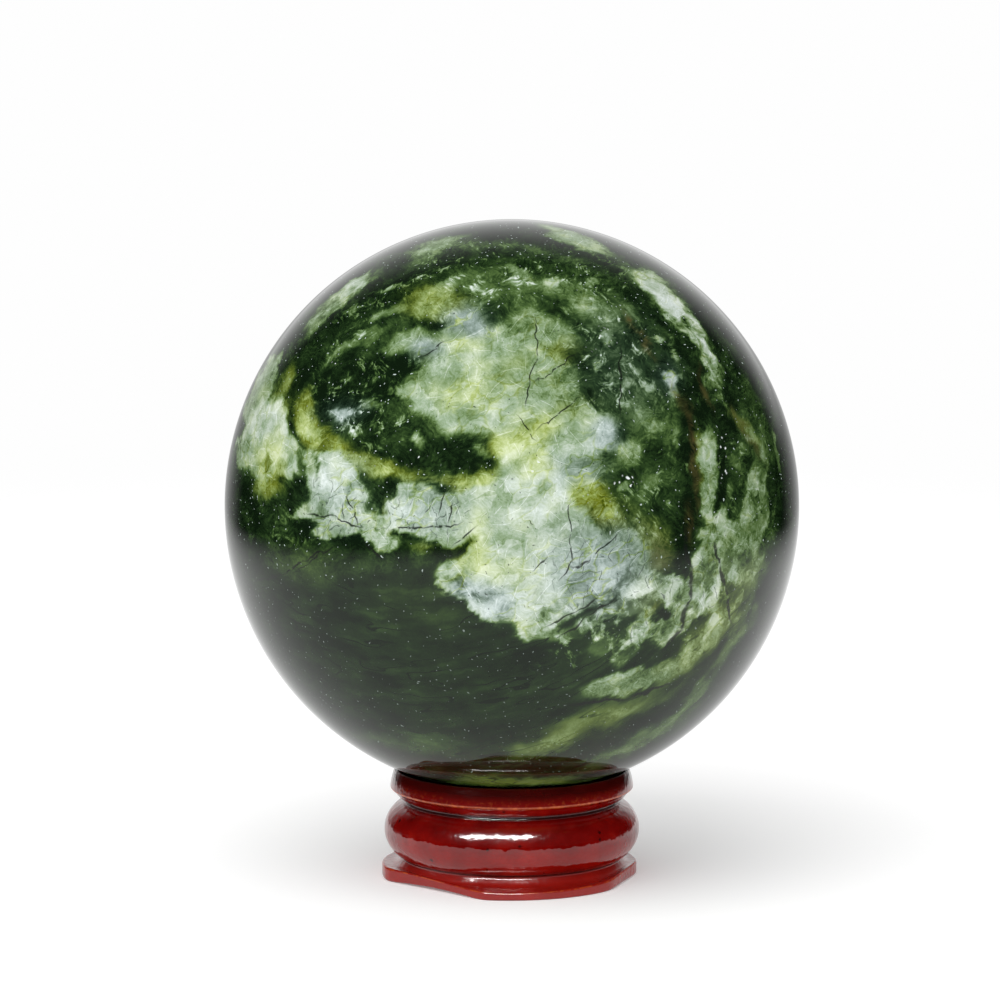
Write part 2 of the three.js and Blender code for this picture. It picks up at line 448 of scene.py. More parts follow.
DARK_GAPS = [
    (-21, 8, 3.0, 0.8, 165, 0.5),
    (-11, 6.8, 5.0, 1.8, 0, 0.7),
    (-21, 17.6, 6.0, 2.0, 10, 0.8),
    (-15, 19.8, 3.0, 0.8, 8, 0.8),
    (-17.6, 2.6, 2.4, 0.6, 55, 0.75),
    (-19.6, 0.4, 1.6, 0.4, 60, 0.6),
    (-28.9, 4, 4.0, 0.3, 100, 0.5),
    (-27.2, 5.5, 3.0, 0.25, 105, 0.5),
    (-30.6, 0.6, 1.6, 0.7, 80, 0.6),
    (-13.1, 3, 0.8, 0.3, 100, 0.6),
    (24.3, 8, 8.0, 0.8, 92, 0.6),
    (24.2, -1, 4.0, 1.0, 95, 0.6),
    (23.6, -7, 3.2, 0.7, 95, 0.8),
    (29.4, 6.5, 4.6, 0.4, 92, 0.7),
    (15.5, 30, 4.0, 0.7, 128, 0.5),
    (-10.6, -5.9, 2.0, 0.6, 0, 0.7),
    (12.5, -13.6, 3.0, 0.5, 30, 0.5),
    (9, -15.6, 3.0, 0.4, 30, 0.5),
    (15.5, -10.4, 2.6, 0.35, 60, 0.45),
    (6, -17, 2.5, 0.4, 25, 0.5),
    (-7.8, -6.4, 1.0, 0.6, 0, 0.6),
    (-10.2, 24.2, 1.2, 0.9, 40, 0.45),
    (-2.2, 27.4, 2.2, 1.6, 60, 0.25),
]
BLUE_TINT = [
    (-6, 26, 3.5, 2.0, 0, 1.0),
    (-12, 21.8, 2.5, 1.5, 0, 1.0),
    (13, 10, 2.2, 2.0, 0, 1.0),
    (-6, -11.5, 2.5, 1.8, 0, 1.0),
    (-2, -13.5, 2.5, 1.8, 0, 1.0),
    (12, -9, 7.5, 6.0, 0, 1.0),
    (-23.5, 13, 3.0, 2.0, 0, 1.0),
    (-24, 1, 4.0, 5.0, 0, 0.6),
    (-12, -0.5, 5.0, 3.0, 0, 0.7),
    (9, 5, 3.5, 2.4, 0, 0.7),
    (22, 18, 2.0, 2.5, 0, 0.8),
    (15, 20, 6.0, 7.0, 0, 0.5),
]

# Where the stone carries small white flakes, breaks up into chips, runs along the ball's edge, is stained
# brown, carries painted glints (white dots for light caught by tiny mirror-like grains), or is finely
# cracked.
FROST = [
    (-19, 23, 11.0, 6.0, 32, 0.8),
    (0, 32.5, 14.0, 4.4, 0, 1.0),
    (12.5, 26, 4.0, 6.0, 0, 1.0),
    (13, 18, 4.0, 5.0, 0, 0.8),
    (20, 21, 6.0, 4.0, 120, 0.6),
    (20, 2, 7.0, 6.0, 0, 0.6),
    (-20, 12, 6.0, 3.5, 165, 0.9),
    (10, -19, 6.0, 2.5, 25, 0.8),
    (32, 3, 9.0, 4.5, 90, 0.7),
    (-32, -2.5, 5.0, 2.5, 0, 0.5),
]
SHATTERED = [
    (18, 16, 14.0, 10.0, 90, 0.1),
    (18, -16, 10.0, 6.0, 20, 0.5),
    (-32, 8, 10.0, 6.0, 85, 0.2),
    (-23, 29, 8.0, 3.0, 40, 0.4),
    (22, 28, 9.0, 4.0, 130, 0.4),
    (27.5, 19, 7.0, 3.0, 108, 0.4),
    (-22, -1, 8.0, 5.0, 0, 0.15),
    (31, -2, 17.0, 6.0, 88, 0.35),
    (3, -16, 9.0, 2.6, 165, 0.35),
    (-8, -11.5, 4.0, 2.4, 140, 0.3),
    (-14, -4.5, 6.0, 2.0, 170, 0.25),
]
ALONG_EDGE = [
    (31, 2, 18.0, 6.5, 90, 0.6),
    (23, 27, 9.0, 5.0, 130, 0.9),
    (26, -19, 13.0, 6.0, 52, 0.9),
    (-33, 10, 9.0, 4.5, 85, 0.9),
    (-20, 28, 11.0, 6.0, 38, 0.8),
    (5, 36, 12.0, 3.0, 165, 0.8),
]
BROWN = [
    (17.6, 24, 3.6, 0.4, 125, 0.9),
    (22.6, 16, 2.4, 0.5, 115, 0.8),
    (24.8, 11.6, 2.6, 0.4, 100, 0.7),
    (25.4, 6, 5.0, 0.5, 92, 0.9),
    (32.6, 10, 3.6, 0.5, 125, 0.9),
    (26.8, 16.4, 2.6, 0.35, 110, 0.7),
    (20.4, -6.4, 2.0, 1.6, 100, 0.5),
    (24.4, -2.5, 2.4, 0.5, 95, 0.7),
]
GLINTS = [
    (15.5, 3, 1.8, 1.0, 20, 1.0),
    (22, -3.7, 2.6, 0.7, 5, 1.0),
    (3.5, 5.3, 2.2, 1.0, 10, 0.8),
    (12.5, 23.5, 2.0, 1.2, 60, 0.5),
    (-24.3, 19.5, 1.2, 0.6, 30, 0.9),
    (29.5, 7, 3.2, 0.7, 90, 0.8),
    (-13.5, 7, 1.0, 1.0, 0, 0.8),
]
FINE_CRACKS = [
    (13, -9, 8.0, 6.0, 20, 1.0),
    (18, -16, 8.0, 4.0, 30, 0.8),
    (28, -9, 7.0, 3.0, 80, 0.8),
    (-12, -1.5, 7.0, 3.0, 0, 1.0),
    (-25, -0.5, 5.0, 4.0, 0, 1.0),
]

# Dark cracks as (half width, points).
CRACKS = [
    (0.11, [(3.3, 26), (3.3, 20.5), (2.3, 17), (2, 14.5)]),
    (0.09, [(1, 12.5), (3, 9.5)]),
    (0.09, [(4, 11), (9, 15)]),
    (0.09, [(3.5, 17.5), (8.5, 21)]),
    (0.12, [(15, 22), (15, 13)]),
    (0.12, [(-12.5, 21), (-9.5, 23)]),
    (0.13, [(-28.5, -0.9), (-25, -1.5), (-21, -3)]),
    (0.1, [(-23, 1.5), (-21.5, -2.4)]),
    (0.16, [(-20.5, -5), (-17.6, -7.6)]),
    (0.12, [(-16.5, -3.2), (-12, -2.8), (-7.5, -2.4)]),
    (0.1, [(-9.3, 2.4), (-10.2, -1)]),
    (0.1, [(-8.2, 0.2), (-9, -2)]),
    (0.12, [(-7.8, -5.2), (-5.2, -3.1)]),
    (0.13, [(-36, -10.5), (-32, -9.5), (-29, -7.5), (-26, -6)]),
    (0.1, [(-30, -8.8), (-25, -5.5)]),
    (0.1, [(7.9, 0.5), (8, -4), (8.3, -7.6), (6.8, -10)]),
    (0.09, [(3.2, -8.6), (4.9, -7.4)]),
    (0.11, [(8.3, -8.4), (11, -7.4), (14.5, -3.8)]),
    (0.12, [(5.2, -16.5), (9, -14.6), (12, -12.6)]),
    (0.12, [(7, -18), (10.5, -15.4), (14, -13)]),
    (0.3, [(24, -4), (24.8, -9), (25, -11), (24.3, -14), (23.5, -17), (21, -20)]),
    (0.18, [(28, -5), (29, -8.5), (29.6, -11), (30.6, -16)]),
    (0.22, [(8, -27.5), (16, -26.8), (22, -24.5)]),
]

SOFT_PALE = (UPPER_CLOUD, NECK, RIM_STREAKS)
FIRM_PALE = (
    MAIN_WHITE, FRAGMENTS, RIGHT_BLOCK, RIGHT_RIBBONS, RIGHT_TUFTS, LEFT_CLUSTER, WHITE_BAND, BELT_TUFTS,
)

# Stone colours by paleness, for the cool and the yellow parts.
COOL_STOPS = [
    (0.0, shade(12, 24, 11)),
    (0.1, shade(24, 41, 19)),
    (0.2, shade(43, 64, 31)),
    (0.32, shade(74, 98, 52)),
    (0.45, shade(108, 131, 90)),
    (0.6, shade(140, 160, 131)),
    (0.75, shade(171, 185, 167)),
    (0.9, shade(196, 207, 199)),
    (1.0, shade(212, 221, 217)),
]
YELLOW_STOPS = [
    (0.0, shade(18, 31, 10)),
    (0.1, shade(34, 49, 14)),
    (0.2, shade(62, 76, 14)),
    (0.32, shade(98, 109, 26)),
    (0.45, shade(127, 144, 70)),
    (0.6, shade(158, 174, 108)),
    (0.75, shade(184, 197, 146)),
    (1.0, shade(214, 222, 194)),
]
BLUE_STOPS = [
    (0.0, shade(13, 26, 17)),
    (0.2, shade(42, 60, 46)),
    (0.45, shade(98, 116, 104)),
    (0.6, shade(134, 150, 143)),
    (0.75, shade(168, 182, 177)),
    (0.9, shade(195, 207, 204)),
    (1.0, shade(213, 222, 221)),
]

# Broad areas of the stone: how soft the patches' borders are, and from which cover a pale area shows.
PALE_BORDER = 0.8
GREEN_BORDER = 0.8
OLIVE_BORDER = 0.6
GAP_BORDER = 0.5
AREA_BORDER = 0.7
CRACK_BORDER = 0.5
# How deep a patch reaches: millimetres, and a share of how far forward its middle lies.
PATCH_DEPTH = (8.0, 0.4)
SOFT_COVER = (0.15, 1.0)
FIRM_COVER = (0.48, 0.74)
LEAST_COVER = 0.01
GREEN_HALO = 0.3
OLIVE_YELLOW = 2.0
LOWER_STARTS = (-4.0, -12.0)
# The back is plainer: soft clouds in mid green stone, from this many millimetres behind the ball's middle.
BACK_STARTS = (-4.0, -16.0)
BACK_CLOUDS = (1 / 16, 3.0, 0.6)
BACK_CLOUD_COVER = (0.5, 0.66)
BACK_CLOUD_PALE = 0.55
BACK_LOWER_FADE = 0.85
BACK_GREEN = 0.08

# Fine texture of the stone: each noise is (waves per millimetre, detail, roughness), each size is in
# millimetres, and each pair is where a soft change starts and ends.
# Shifts of the pattern as (size, reach, detail).
SWIRL = (5.0, 4.0, 3.0)
DRIFT = (2.0, 2.4, 2.0)
SPREAD_ROUGHNESS = 0.62
MOTTLE = (0.3, 2.0, 0.5)
LEADS = (0.22, 1.0, 0.5)
LEAD_COVER = (0.42, 0.62)
LUMPS = (0.4, 4.0, 0.58)
EDGE_RUN_SIZE = (5.0, 1.4)
EDGE_RUNS = (1.0, 4.0, 0.6)
CHIP_FORCE = 2.2
CHIP_BREAKS = (0.2, 0.8)
PALE_STARTS = (0.25, 0.6)
PALE_DIP = 0.03
PLATE_TURN = (0.3, 0.5, 0.6)
PLATE_SIZE = (3.4, 1.7, 2.4)
SEAM_WIDTH = (0.09, 0.0)
SEAM_DEPTH = 0.1
STROKE_TURNS = (15, 70, 130)
STROKE_SIZE = (2.0, 0.4, 2.0)
STROKES = (1.0, 2.0, 0.6)
GRAIN = (2.6, 2.0, 0.7)
TUFT_STROKES = 0.5
TUFT_COVER = (0.05, 0.28)
TUFT_PALE = 0.62
JAGGED = 0.7
CALM = 0.2
# The layers of the dark lower half dip under this place, right of the ball's middle in millimetres.
LAYERS_LOWEST = -14.0
LAYERS_BEND = 0.011
LAYER_SIZE = (9.0, 1.8, 5.0)
LAYERS = (1.0, 3.0, 0.55)
VEIN_PLACE = (3, 5, 7)
VEIN_SIZE = (16.0, 2.6, 8.0)
VEINS = (1.0, 2.0, 0.5)
HAIR_WIDTH = (0.016, 0.003)
HAIR_LAYERS = (-0.06, 0.06)

# How much each texture lightens the pale stone, all but the dark lower half, the dark upper stone, the dark
# lower half, and the borders between pale and dark.
TEXTURE_SHARES = {
    "plates": {"pale": 0.16},
    "scratches": {"pale": 0.16, "upper": 0.04},
    "strokes": {"pale": 0.28, "dark_upper": 0.36},
    "mottle": {"pale": 0.1, "upper": 0.5, "lower": 0.2},
    "chips": {"pale": 0.24, "upper": 0.14, "borders": 0.3},
    "grain": {"pale": 0.34, "dark_upper": 0.24, "lower": 0.08, "borders": 0.16},
    "layers": {"lower": 0.4},
    "hairs": {"lower": -0.15},
}
YELLOW_MOTTLE = 1.8
YELLOW_SEAMS = 0.4
STAIN_UNEVEN = 2.0
STAIN_SHARE = 0.5
# Marks as (spacing, length, half width, turn, spread, bend), and dots as (per millimetre, size, share).
SCRATCHES = (2.6, 3.0, 0.055, 20, 360, 0.25)
TICKS = (2.0, 2.2, 0.09, 60, 110, 0.7)
MARK_CORE = 0.3
MARK_TAPER = 0.6
SPECKS = (1.7, 0.2, 0.6)
GLINT_DOTS = (1.7, 0.36, 0.7)
DOT_EDGE = (1.2, 0.5)
LEAST_DOT = 0.001
SPECK_SHARE = 0.3
SPECK_UPPER_SHARE = 0.5
DARK_SPECK_SHARE = 0.75
TICK_SHARE = 0.8
CRACK_GAPS = (1.0, 1.0, 0.5)
CRACK_SHOWS = (0.3, 0.42)
CRACK_SHARE = 0.9
STONE_ROUGHNESS = 0.04
STONE_IOR = 1.33


# Node trees

class Wire:
    """One output socket of a node. Arithmetic on it adds Math nodes to the same tree."""

    def __init__(self, tree, socket):
        self.tree = tree
        self.socket = socket

    def out(self, name):
        return Wire(self.tree, self.socket.node.outputs[name])

    def __add__(self, other):
        return self.tree.math("ADD", self, other)

    __radd__ = __add__

    def __sub__(self, other):
        return self.tree.math("SUBTRACT", self, other)

    def __rsub__(self, other):
        return self.tree.math("SUBTRACT", other, self)

    def __mul__(self, other):
        return self.tree.math("MULTIPLY", self, other)

    __rmul__ = __mul__

    def __truediv__(self, other):
        return self.tree.math("DIVIDE", self, other)

    def __rtruediv__(self, other):
        return self.tree.math("DIVIDE", other, self)

    def __neg__(self):
        return self.tree.math("MULTIPLY", self, -1.0)

    def __abs__(self):
        return self.tree.math("ABSOLUTE", self)


class Tree:
    """Adds nodes to one material, world or Geometry Nodes tree."""

    def __init__(self, node_tree):
        self.kind = node_tree.bl_idname
        self.nodes = node_tree.nodes
        self.links = node_tree.links
        self.nodes.clear()

    def node(self, kind, settings=None, inputs=None, output=0):
        made = self.nodes.new(kind)
        for name, setting in (settings or {}).items():
            if name == "stops":
                set_stops(made.color_ramp, setting)
            else:
                setattr(made, name, setting)
        for key, value in (inputs or {}).items():
            self.feed(made.inputs[key], value)
        return Wire(self, made.outputs[output]) if made.outputs else None

    def feed(self, socket, value):
        if isinstance(value, Wire):
            self.links.new(value.socket, socket)
        else:
            socket.default_value = value

    def math(self, operation, *values, clamp=False):
        settings = {"operation": operation, "use_clamp": clamp}
        return self.node("ShaderNodeMath", settings, dict(enumerate(values)))

    def clamped(self, value):
        return self.math("ADD", value, 0.0, clamp=True)

    def larger(self, first, second):
        return self.math("MAXIMUM", first, second)

    def step(self, value, start, end, low=0.0, high=1.0):
        """Smooth step from low at start to high at end."""
        sockets = {"Value": value, "From Min": start, "From Max": end, "To Min": low, "To Max": high}
        return self.node("ShaderNodeMapRange", {"interpolation_type": "SMOOTHSTEP"}, sockets)

    def vector(self, operation, *values, output=0):
        return self.node("ShaderNodeVectorMath", {"operation": operation}, dict(enumerate(values)), output)

    def scaled(self, vector, factor):
        return self.node("ShaderNodeVectorMath", {"operation": "SCALE"}, {0: vector, "Scale": factor})

    def length(self, vector):
        return self.vector("LENGTH", vector, output="Value")

    def turned(self, vector, angle):
        """The vector turned about the Z axis."""
        sockets = {"Vector": vector, "Angle": angle}
        return self.node("ShaderNodeVectorRotate", {"rotation_type": "Z_AXIS"}, sockets)

    def split(self, vector):
        first = self.node("ShaderNodeSeparateXYZ", None, {0: vector}, "X")
        return first, first.out("Y"), first.out("Z")

    def joined(self, *values):
        return self.node("ShaderNodeCombineXYZ", None, dict(enumerate(values)))

    def mix(self, factor, first, second):
        return self.node("ShaderNodeMix", {"data_type": "RGBA"}, {0: factor, 6: first, 7: second}, 2)

    def ramp(self, value, stops):
        return self.node("ShaderNodeValToRGB", {"stops": stops}, {0: value})

    def noise(self, place, scale, detail, rough, output=0):
        sockets = {"Vector": place, "Scale": scale, "Detail": detail, "Roughness": rough}
        return self.node("ShaderNodeTexNoise", None, sockets, output)

    def waves(self, place, scale, detail, rough):
        """Noise around 0."""
        return self.noise(place, scale, detail, rough) - 0.5

    def cells(self, place, scale, feature="F1"):
        settings = {"feature": feature}
        return self.node("ShaderNodeTexVoronoi", settings, {"Vector": place, "Scale": scale})

    def chances(self, cells):
        """Three random numbers for each cell."""
        first = self.node("ShaderNodeSeparateColor", None, {0: cells.out("Color")}, "Red")
        return first, first.out("Green"), first.out("Blue")

    def placed(self, place, location=(0, 0, 0), rotation=(0, 0, 0), scale=(1, 1, 1)):
        """The place as read in a frame with that location, turn and unit length."""
        sockets = {"Vector": place, "Location": location, "Rotation": rotation, "Scale": scale}
        return self.node("ShaderNodeMapping", {"vector_type": "TEXTURE"}, sockets)

    def field(self, name, place, build, *details, kind="NodeSocketFloat"):
        """A value at a place, worked out by a node group of its own. Small groups are quick to build."""
        group = bpy.data.node_groups.new(name, self.kind)
        group.interface.new_socket(name="Place", in_out="INPUT", socket_type="NodeSocketVector")
        group.interface.new_socket(name="Value", in_out="OUTPUT", socket_type=kind)
        inside = Tree(group)
        value = build(inside, inside.node("NodeGroupInput"), *details)
        inside.node("NodeGroupOutput", None, {0: value})
        return self.node(self.kind.replace("Tree", "Group"), {"node_tree": group}, {0: place})


def set_stops(ramp, stops):
    while len(ramp.elements) < len(stops):
        ramp.elements.new(1.0)
    for element, (position, colour) in zip(ramp.elements, stops):
        element.position = position
        element.color = colour


def new_material(name):
    material = bpy.data.materials.new(name)
    material.use_nodes = True
    return material, Tree(material.node_tree)


def new_object(name, data):
    made = bpy.data.objects.new(name, data)
    bpy.context.scene.collection.objects.link(made)
    return made


# Stone

def on_face(right, up):
    """The stone's point that shows at (right, up) millimetres from the ball's middle."""
    depth = math.sqrt(max(BALL_MM ** 2 - right ** 2 - up ** 2, 0.0))
    nearer = 1 - depth * MM / CAMERA_DISTANCE
    aside = (right * nearer) ** 2 + (up * nearer) ** 2
    return Vector((right * nearer, up * nearer, math.sqrt(max(BALL_MM ** 2 - aside, 0.0))))


def patch(tree, place, right, up, length, width, turn, strength, border):
    """A soft oval on the ball's face."""
    middle = on_face(right, up)
    depth = PATCH_DEPTH[0] + PATCH_DEPTH[1] * middle.z
    angle = math.radians(-turn)
    local = Matrix.Rotation(angle, 3, "Z") @ middle
    size = Vector((1 / length, 1 / width, 1 / depth))
    offset = Vector([-along * share for along, share in zip(local, size)])
    reach = tree.length(tree.vector("MULTIPLY_ADD", tree.turned(place, angle), size, offset))
    return tree.step(reach, 1 + border, 1 - border, 0.0, strength)


def added(tree, place, rows, border):
    """Patches added up."""
    total = 0.0
    for row in rows:
        total = total + patch(tree, place, *row, border)
    return total


def laid(tree, place, rows, border):
    """Patches laid side by side that run together where they meet, as (paleness times cover, cover, 0)."""
    cover = 0.0
    pale = 0.0
    for *shape, strength in rows:
        oval = patch(tree, place, *shape, 1.0, border)
        cover = cover + oval
        pale = pale + oval * strength
    return tree.joined(pale, cover)


def lined(tree, place, cracks):
    """Thin lines from point to point, 1 on a line."""
    total = 0.0
    for width, points in cracks:
        for start, end in zip(points, points[1:]):
            run = Vector(end) - Vector(start)
            middle = (Vector(start) + Vector(end)) / 2
            turn = math.degrees(math.atan2(run.y, run.x))
            line = patch(tree, place, *middle, run.length / 2 + width, width, turn, 1.0, CRACK_BORDER)
            total = tree.larger(line, total)
    return total


def strokes(tree, place, leads):
    """Brush-like streaks that cross at several angles, each angle leading in its own areas. Around 0."""
    total = 0.0
    for turn, lead in zip(STROKE_TURNS, leads):
        turned = tree.placed(place, rotation=(0, 0, math.radians(turn)), scale=STROKE_SIZE)
        total = total + tree.waves(turned, *STROKES) * lead
    return total


def marks(tree, face, spacing, length, width, turn, spread, bend):
    """One thin mark in each grain of the stone, turned at random within the spread. 1 on a mark."""
    grain = tree.cells(face, 1 / spacing)
    away = tree.vector("SUBTRACT", face, grain.out("Position"))
    turn_chance, bend_chance, length_chance = tree.chances(grain)
    angle = (turn_chance - 0.5) * -math.radians(spread) - math.radians(turn)
    along, aside, _ = tree.split(tree.turned(away, angle))
    aside = aside + along * along * ((bend_chance - 0.5) * bend)
    line = tree.step(abs(aside), width, width * MARK_CORE)
    return line * tree.step(abs(along) / length, length_chance, length_chance * MARK_TAPER)


def dots(tree, face, density, size, share):
    """Scattered dots of uneven size, 1 in a dot."""
    grain = tree.cells(face, density)
    reach = tree.step(tree.chances(grain)[0], 1 - share, 1.0) * size
    return tree.step(grain / tree.larger(reach, LEAST_DOT), *DOT_EDGE)


def flat(tree, place):
    """The place with its third part left out."""
    return tree.vector("MULTIPLY", place, (1.0, 1.0, 0.0))


def along_edge(tree, face, length, thickness):
    """Places that change slowly along the ball's edge and quickly across it."""
    outward = flat(tree, face)
    around = tree.scaled(tree.vector("NORMALIZE", outward), BALL_MM / length)
    return tree.vector("ADD", around, tree.joined(0.0, 0.0, tree.length(outward) / thickness))


def kept_vector(tree, name):
    return tree.node("ShaderNodeAttribute", {"attribute_name": name}, output="Vector")


def kept(tree, name):
    """The three values that a piece's points keep under a name."""
    return tree.split(kept_vector(tree, name))


def stone_material():
    material, tree = new_material("polished_green_stone")
    here = tree.node("ShaderNodeTexCoord", output="Object")
    face = tree.placed(here, BALL_MIDDLE, FACE_TURN, (MM, MM, MM))
    drift = kept_vector(tree, "stone_drift")
    warped = tree.vector("ADD", face, drift)
    pale, yellow_area, blue_area = kept(tree, "stone_tone")
    frost, shattered, edge_run = kept(tree, "stone_texture")
    glinting, cracked, lower = kept(tree, "stone_marks")
    mottle, lead, other_lead = kept(tree, "stone_mottle")
    brown, _, _ = kept(tree, "stone_stain")

    # Chips of pale stone in dark stone, and gaps of dark in pale
    lumps = tree.waves(warped, *LUMPS)
    runs = tree.waves(along_edge(tree, warped, *EDGE_RUN_SIZE), *EDGE_RUNS)
    chips = lumps + (runs - lumps) * edge_run
    broken = tree.step(pale + chips * CHIP_FORCE, *CHIP_BREAKS)
    level = pale + (broken - pale) * shattered

    body = tree.step(level, *PALE_STARTS)
    dark = 1 - body
    lower = lower * dark
    upper = 1 - lower
    areas = {
        "pale": body,
        "upper": upper,
        "dark_upper": upper * dark,
        "lower": lower,
        "borders": body * dark * 4,
    }

    # Soft plates with seams between them, and brush-like strokes
    slanted = tree.placed(warped, rotation=PLATE_TURN, scale=PLATE_SIZE)
    plates = tree.chances(tree.cells(slanted, 1.0))[0] - 0.5
    seams = tree.step(tree.cells(slanted, 1.0, "DISTANCE_TO_EDGE"), *SEAM_WIDTH) * body * lead
    brushed = strokes(tree, warped, (lead, other_lead, 1 - lead))

    # Layers in the dark lower half, curved like a bowl, and dark hairs along them
    across = tree.split(face)[0] - LAYERS_LOWEST
    bowl = tree.joined(0.0, across * across * -LAYERS_BEND)
    jagged = tree.vector("ADD", face, tree.scaled(drift, JAGGED))
    calm = tree.vector("ADD", face, tree.scaled(drift, CALM))
    layers = tree.waves(tree.placed(tree.vector("ADD", jagged, bowl), scale=LAYER_SIZE), *LAYERS)
    veins = tree.waves(tree.placed(tree.vector("ADD", calm, bowl), VEIN_PLACE, scale=VEIN_SIZE), *VEINS)
    hairs = tree.step(abs(veins), *HAIR_WIDTH) * tree.step(layers, *HAIR_LAYERS)

    # Fuzzy pale tufts in the dark stone
    tufts = tree.step(chips + brushed * TUFT_STROKES, *TUFT_COVER)
    level = level - body * PALE_DIP - seams * SEAM_DEPTH + frost * tufts * dark * TUFT_PALE
    textures = {
        "plates": plates,
        "scratches": marks(tree, face, *SCRATCHES),
        "strokes": brushed,
        "mottle": mottle,
        "chips": chips,
        "grain": tree.waves(warped, *GRAIN),
        "layers": layers,
        "hairs": hairs,
    }
    for name, shares in TEXTURE_SHARES.items():
        for area, share in shares.items():
            level = level + textures[name] * areas[area] * share

    yellow = yellow_area + mottle * body * YELLOW_MOTTLE + seams * YELLOW_SEAMS
    stain = brown * ((brushed + mottle) * STAIN_UNEVEN + STAIN_SHARE)
    colour = tree.mix(tree.clamped(yellow), tree.ramp(level, COOL_STOPS), tree.ramp(level, YELLOW_STOPS))
    colour = tree.mix(tree.clamped(blue_area - seams), colour, tree.ramp(level, BLUE_STOPS))
    colour = tree.mix(tree.clamped(stain), colour, STAIN_BROWN)

    specks = dots(tree, warped, *SPECKS)
    ticks = marks(tree, warped, *TICKS) * cracked * body
    cracks = tree.field("dark_cracks", jagged, lined, CRACKS)
    cracks = cracks * tree.step(tree.noise(face, *CRACK_GAPS), *CRACK_SHOWS)
    # Specks, ticks and cracks are the stone's own marks; the glint dots mixed in last are painted glints.
    for cover, tone in (
        (specks * dark * (upper * SPECK_UPPER_SHARE + SPECK_SHARE), SPECK_WHITE),
        (specks * body * DARK_SPECK_SHARE, CRACK_BLACK),
        (ticks * TICK_SHARE, CRACK_GREY),
        (cracks * CRACK_SHARE, CRACK_BLACK),
        (dots(tree, warped, *GLINT_DOTS) * glinting, GLINT_WHITE),
    ):
        colour = tree.mix(cover, colour, tone)
    finish = {"Base Color": colour, "Roughness": STONE_ROUGHNESS, "IOR": STONE_IOR}
    surface = tree.node("ShaderNodeBsdfPrincipled", None, finish)
    tree.node("ShaderNodeOutputMaterial", None, {"Surface": surface})
    return material


# Pieces made by Geometry Nodes

def new_group(name, inputs):
    """A Geometry Nodes tree with named inputs. Returns it, its Tree and its input wires by name."""
    group = bpy.data.node_groups.new(name, "GeometryNodeTree")
    group.interface.new_socket(name="Geometry", in_out="OUTPUT", socket_type="NodeSocketGeometry")
    group.interface.new_socket(name="Geometry", in_out="INPUT", socket_type="NodeSocketGeometry")
    for label, (kind, _) in inputs.items():
        group.interface.new_socket(name=label, in_out="INPUT", socket_type=kind)
    tree = Tree(group)
    source = tree.node("NodeGroupInput")
    wires = {label: source.out(label) for label in ["Geometry", *inputs]}
    return group, tree, wires


def made_by(name, mesh, group, inputs):
    """A plain mesh object made by running a Geometry Nodes tree on a mesh."""
    maker = new_object(name + "_maker", mesh)
    modifier = maker.modifiers.new("nodes", "NODES")
    modifier.node_group = group
    for socket in group.interface.items_tree:
        if socket.in_out == "INPUT" and socket.name in inputs:
            modifier[socket.identifier] = inputs[socket.name][1]
    shaped = maker.evaluated_get(bpy.context.evaluated_depsgraph_get())
    finished = bpy.data.meshes.new_from_object(shaped)
    bpy.data.objects.remove(maker)
    return new_object(name, finished)


def finish_group(tree, geometry, material):
    smooth = tree.node("GeometryNodeSetShadeSmooth", None, {"Geometry": geometry})
    real = tree.node("GeometryNodeRealizeInstances", None, {"Geometry": smooth})
    finished = tree.node("GeometryNodeSetMaterial", None, {"Geometry": real, "Material": material})
    tree.node("NodeGroupOutput", None, {0: finished})


def named(tree, geometry, name, values):
    """Keeps three values for each point of a piece."""
    return tree.node(
        "GeometryNodeStoreNamedAttribute",
        {"data_type": "FLOAT_VECTOR", "domain": "POINT"},
        {"Geometry": geometry, "Name": name, "Value": tree.joined(*values)},
    )


def spread_of(tree, place, size, reach, detail):
    """A random shift of each place, up to about half the reach each way."""
    swirl = tree.noise(place, 1 / size, detail, SPREAD_ROUGHNESS, "Color")
    return tree.vector("MULTIPLY_ADD", swirl, (reach,) * 3, (-reach / 2,) * 3)


def covered(tree, place, lists, firmness):
    """The paleness of several lists of patches, how much they cover, and how near a place is to them."""
    patches = (0.0, 0.0, 0.0)
    for rows in lists:
        area = tree.field("pale_area", place, laid, rows, PALE_BORDER, kind="NodeSocketVector")
        patches = tree.vector("ADD", patches, area)
    weighted, cover, _ = tree.split(patches)
    pale = weighted / tree.larger(cover, LEAST_COVER)
    return pale, tree.step(cover, *firmness), tree.math("MINIMUM", cover, 1.0)


